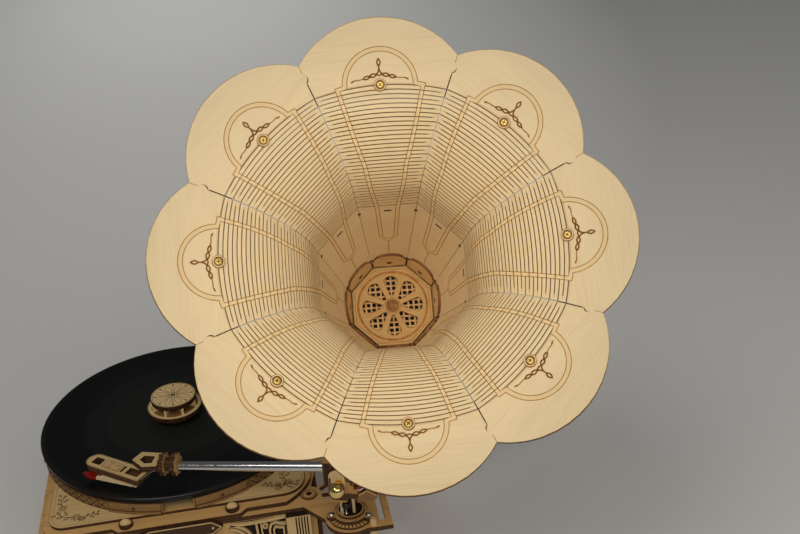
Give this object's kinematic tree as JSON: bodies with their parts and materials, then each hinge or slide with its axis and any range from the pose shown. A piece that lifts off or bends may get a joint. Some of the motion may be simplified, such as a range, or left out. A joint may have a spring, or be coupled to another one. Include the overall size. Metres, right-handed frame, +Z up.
{
  "type": "toy gramophone",
  "caption": "Table-top plywood toy gramophone: box with a turntable and record, hand crank, tonearm on a side bracket and a large flared petal horn over its speaker.",
  "frame": {"origin": "on the surface that the box stands on, under the middle of the turntable's spindle", "axes": "+Z up along the spindle, +X to the right along the front of the box, towards the crank and the horn's foot, +Y to the back"},
  "size_m": [0.3276, 0.347, 0.3693],
  "materials": {
    "light_ply": "bare birch plywood with scorched laser-cut edges",
    "tan_ply": "tan plywood with dark scorched edges",
    "dark_ply": "dark stained wood, satin",
    "vinyl": "glossy black vinyl with fine grooves",
    "black_plastic": "satin black moulding",
    "steel": "polished steel",
    "brass": "polished brass",
    "red_plastic": "glossy red moulding",
    "circuit_board": "green coated board"
  },
  "bodies": {
    "base": {"bottom_plate": "tan_ply", "front_wall": "tan_ply", "back_wall": "tan_ply", "left_wall": "tan_ply", "right_wall": "tan_ply", "deck_frame": "tan_ply", "deck_plate": "tan_ply", "deck_inlay": "light_ply", "ring_left": "tan_ply", "ring_right": "tan_ply", "peg_left": "light_ply", "peg_right": "light_ply", "front_plaque": "tan_ply", "front_screen": "light_ply", "pilaster_left": "light_ply", "pilaster_right": "light_ply", "spindle_bearing": "tan_ply", "amplifier_board": "circuit_board", "battery_box": "black_plastic", "neck_socket": "tan_ply", "crank_bush": "tan_ply", "dial_scale": "light_ply", "dial_collar": "tan_ply", "dial_pendant": "dark_ply", "horn_petal_1": "light_ply", "horn_petal_2": "light_ply", "horn_petal_3": "light_ply", "horn_petal_4": "light_ply", "horn_petal_5": "light_ply", "horn_petal_6": "light_ply", "horn_petal_7": "light_ply", "horn_petal_8": "light_ply", "horn_hoop": "tan_ply", "throat_collar": "tan_ply", "throat_crown": "tan_ply", "speaker_grille": "tan_ply", "speaker_driver": "black_plastic", "speaker_housing": "tan_ply", "horn_neck": "tan_ply"},
    "turntable": {"spindle": "steel", "crown_wheel": "tan_ply", "platter_gear": "light_ply", "platter": "black_plastic", "record": "vinyl"},
    "record_clamp": {"clamp_base": "light_ply", "clamp_cap": "light_ply"},
    "crank": {"crank_shaft": "steel", "crank_pinion": "light_ply", "crank_arm": "tan_ply"},
    "grip": {"crank_grip": "dark_ply"},
    "governor": {"governor_rotor": "brass"},
    "arm_base": {"arm_yoke": "tan_ply"},
    "tonearm": {"pivot_block": "tan_ply", "arm_tube": "steel", "arm_axle": "brass", "counterweight": "dark_ply", "arm_coupling": "tan_ply", "headshell_bracket": "tan_ply", "headshell": "light_ply", "cartridge": "red_plastic"}
  },
  "joints": [
    {"name": "platter_spin", "type": "hinge", "parent": "base", "child": "turntable", "pos_m": [0, 0, 0.0905], "axis": [0, 0, 1], "continuous": true},
    {"name": "clamp_lift", "type": "slide", "parent": "turntable", "child": "record_clamp", "axis": [0, 0, 1], "range_m": [0, 0.012]},
    {"name": "crank_turn", "type": "hinge", "parent": "base", "child": "crank", "pos_m": [0.133, 0, 0.044], "axis": [1, 0, 0], "continuous": true},
    {"name": "grip_spin", "type": "hinge", "parent": "crank", "child": "grip", "pos_m": [0.149, 0, 0.016], "axis": [1, 0, 0], "continuous": true},
    {"name": "governor_spin", "type": "hinge", "parent": "base", "child": "governor", "pos_m": [-0.03897, 0.0225, 0.039], "axis": [0, 0, 1], "continuous": true},
    {"name": "arm_swing", "type": "hinge", "parent": "base", "child": "arm_base", "pos_m": [0.1008, -0.1095, 0.075], "axis": [0, 0, 1], "range_deg": [-12, 10]},
    {"name": "arm_lift", "type": "hinge", "parent": "arm_base", "child": "tonearm", "pos_m": [0.098, -0.106, 0.1025], "axis": [0.3256, 0.9455, 0], "range_deg": [0, 25]}
  ],
  "couplings": [
    {"joint": "crank_turn", "follows": "platter_spin", "ratio": 1.6},
    {"joint": "governor_spin", "follows": "platter_spin", "ratio": -4}
  ]
}
